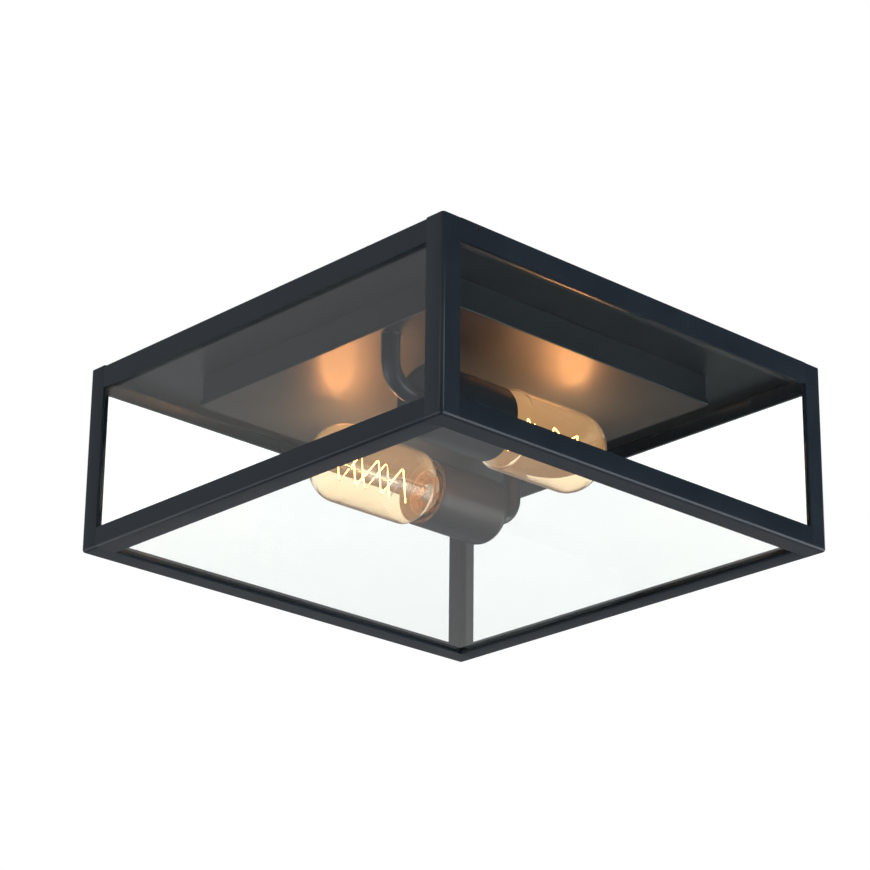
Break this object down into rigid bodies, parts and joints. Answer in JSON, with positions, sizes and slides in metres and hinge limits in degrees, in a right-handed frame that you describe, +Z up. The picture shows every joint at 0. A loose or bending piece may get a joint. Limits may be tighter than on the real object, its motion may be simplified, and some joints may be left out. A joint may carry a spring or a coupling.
{
  "type": "porch ceiling lantern",
  "caption": "Square porch ceiling lantern: a glazed steel cage that drops off a shallow canopy, with screw-in tubular filament lamps on bent tubes.",
  "frame": {"origin": "middle of the ceiling strap's top face, in the plane of the ceiling", "axes": "+Z up into the ceiling, so the lantern hangs in -Z; +X and +Y along the sides of the square that meet at the near corner of the picture, which is the (-X, -Y) corner"},
  "size_m": [0.3, 0.3, 0.114],
  "materials": {
    "cage_paint": "satin powder coat, dark blue-grey",
    "canopy_paint": "satin powder coat, near black",
    "lamp_paint": "satin black",
    "clear_glass": "clear float glass with green edges",
    "bottom_glass": "clear float glass, slightly milky",
    "amber_glass": "clear amber",
    "stem_glass": "clear",
    "black_glass": "gloss black",
    "shell_metal": "satin",
    "contact_brass": "bright",
    "contact_tin": "satin solder",
    "holder_plastic": "matt black",
    "zinc_steel": "bright zinc",
    "black_screw": "black oxide",
    "black_rubber": "matt",
    "block_plastic": "natural, matt",
    "lead_black": "soft insulation",
    "lead_white": "soft insulation",
    "glowing_wire": "glowing wire"
  },
  "bodies": {
    "canopy": {"ceiling_strap": "zinc_steel", "strap_studs": "zinc_steel", "stud_nuts": "zinc_steel", "top_plate": "canopy_paint", "wire_bushing": "black_rubber", "wiring_box": "canopy_paint", "cover_plate": "canopy_paint", "cover_standoffs": "zinc_steel", "cover_screws": "black_screw", "terminal_block": "block_plastic", "terminal_screws": "zinc_steel", "ground_screw": "zinc_steel", "tube_nuts": "zinc_steel", "leads_live": "lead_black", "leads_neutral": "lead_white", "lamp_tube_a": "lamp_paint", "lamp_tube_b": "lamp_paint", "holder_cup_a": "lamp_paint", "holder_cup_b": "lamp_paint", "holder_insert_a": "holder_plastic", "holder_insert_b": "holder_plastic", "screw_shell_a": "shell_metal", "screw_shell_b": "shell_metal", "contact_tongue_a": "contact_brass", "contact_tongue_b": "contact_brass"},
    "cage": {"post_near": "cage_paint", "post_right": "cage_paint", "post_far": "cage_paint", "post_left": "cage_paint", "top_bar_near_right": "cage_paint", "top_bar_far_left": "cage_paint", "top_bar_far_right": "cage_paint", "top_bar_near_left": "cage_paint", "bottom_bar_near_right": "cage_paint", "bottom_bar_far_left": "cage_paint", "bottom_bar_far_right": "cage_paint", "bottom_bar_near_left": "cage_paint", "pane_near_right": "clear_glass", "pane_far_left": "clear_glass", "pane_far_right": "clear_glass", "pane_near_left": "clear_glass", "pane_bottom": "bottom_glass", "bottom_clips": "cage_paint", "corner_tab": "cage_paint", "top_clips_short": "cage_paint", "top_clips_long": "cage_paint"},
    "bulb_tip_a": {"bulb_contact_a": "contact_tin"},
    "bulb_a": {"bulb_insulator_a": "black_glass", "bulb_cap_a": "shell_metal", "bulb_glass_a": "amber_glass", "bulb_stem_a": "stem_glass", "bulb_filament_a": "glowing_wire"},
    "pinch_a": {"pinch_screw_a": "black_screw"},
    "bulb_tip_b": {"bulb_contact_b": "contact_tin"},
    "bulb_b": {"bulb_insulator_b": "black_glass", "bulb_cap_b": "shell_metal", "bulb_glass_b": "amber_glass", "bulb_stem_b": "stem_glass", "bulb_filament_b": "glowing_wire"},
    "pinch_b": {"pinch_screw_b": "black_screw"}
  },
  "joints": [
    {"name": "cage_drop", "type": "slide", "parent": "canopy", "child": "cage", "axis": [0, 0, -1], "range_m": [0, 0.13]},
    {"name": "bulb_a_out", "type": "slide", "parent": "canopy", "child": "bulb_tip_a", "axis": [1, 0, 0], "range_m": [0, 0.018]},
    {"name": "bulb_a_turn", "type": "hinge", "parent": "bulb_tip_a", "child": "bulb_a", "pos_m": [-0.049, -0.0517, -0.0548], "axis": [1, 0, 0], "range_deg": [0, 1800]},
    {"name": "pinch_a_turn", "type": "hinge", "parent": "cage", "child": "pinch_a", "pos_m": [-0.1248, -0.15, -0.0044], "axis": [0, -1, 0], "range_deg": [0, 720]},
    {"name": "bulb_b_out", "type": "slide", "parent": "canopy", "child": "bulb_tip_b", "axis": [-1, 0, 0], "range_m": [0, 0.018]},
    {"name": "bulb_b_turn", "type": "hinge", "parent": "bulb_tip_b", "child": "bulb_b", "pos_m": [0.0526, 0.0517, -0.0548], "axis": [-1, 0, 0], "range_deg": [0, 1800]},
    {"name": "pinch_b_turn", "type": "hinge", "parent": "cage", "child": "pinch_b", "pos_m": [0.1248, 0.15, -0.0044], "axis": [0, 1, 0], "range_deg": [0, 720]}
  ],
  "couplings": [
    {"joint": "bulb_a_out", "follows": "bulb_a_turn", "m_per_rad": 0.00057296},
    {"joint": "bulb_b_out", "follows": "bulb_b_turn", "m_per_rad": 0.00057296}
  ]
}
